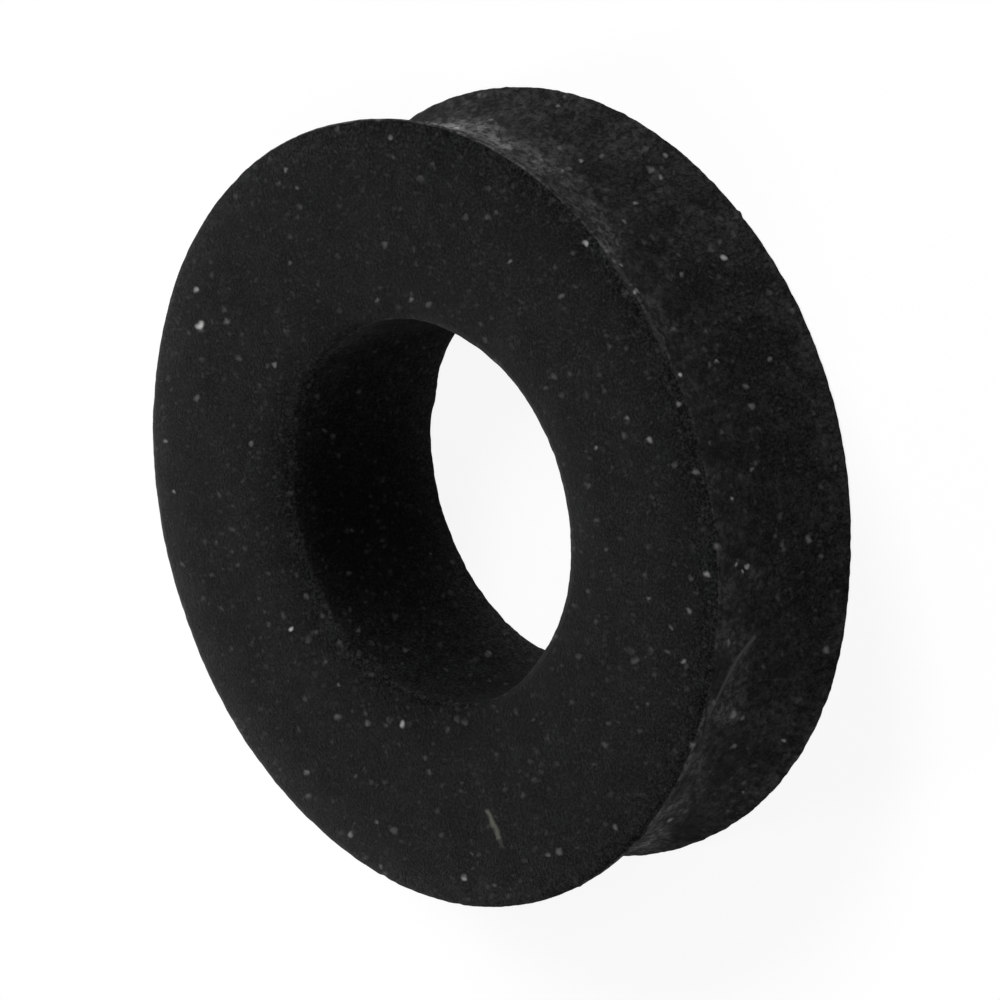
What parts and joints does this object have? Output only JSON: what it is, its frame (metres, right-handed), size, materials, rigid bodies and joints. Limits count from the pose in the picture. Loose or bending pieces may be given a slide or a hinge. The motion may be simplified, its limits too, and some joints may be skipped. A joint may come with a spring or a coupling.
{
  "type": "rubber flat washer",
  "caption": "Thick flat ring washer cut from black rubber, with a round bore and a slightly waisted outer wall, for sealing and cushioning under a bolt head.",
  "frame": {"origin": "centre of the bore at the back face, which lies on the surface below", "axes": "+Z along the bore's axis, from the narrower back face towards the wider front face; X and Y are any two directions across it"},
  "size_m": [0.0128, 0.0128, 0.0032],
  "materials": {
    "black_rubber": "matt, with fine grain and pale dust"
  },
  "bodies": {
    "root": {"washer": "black_rubber"}
  },
  "joints": []
}
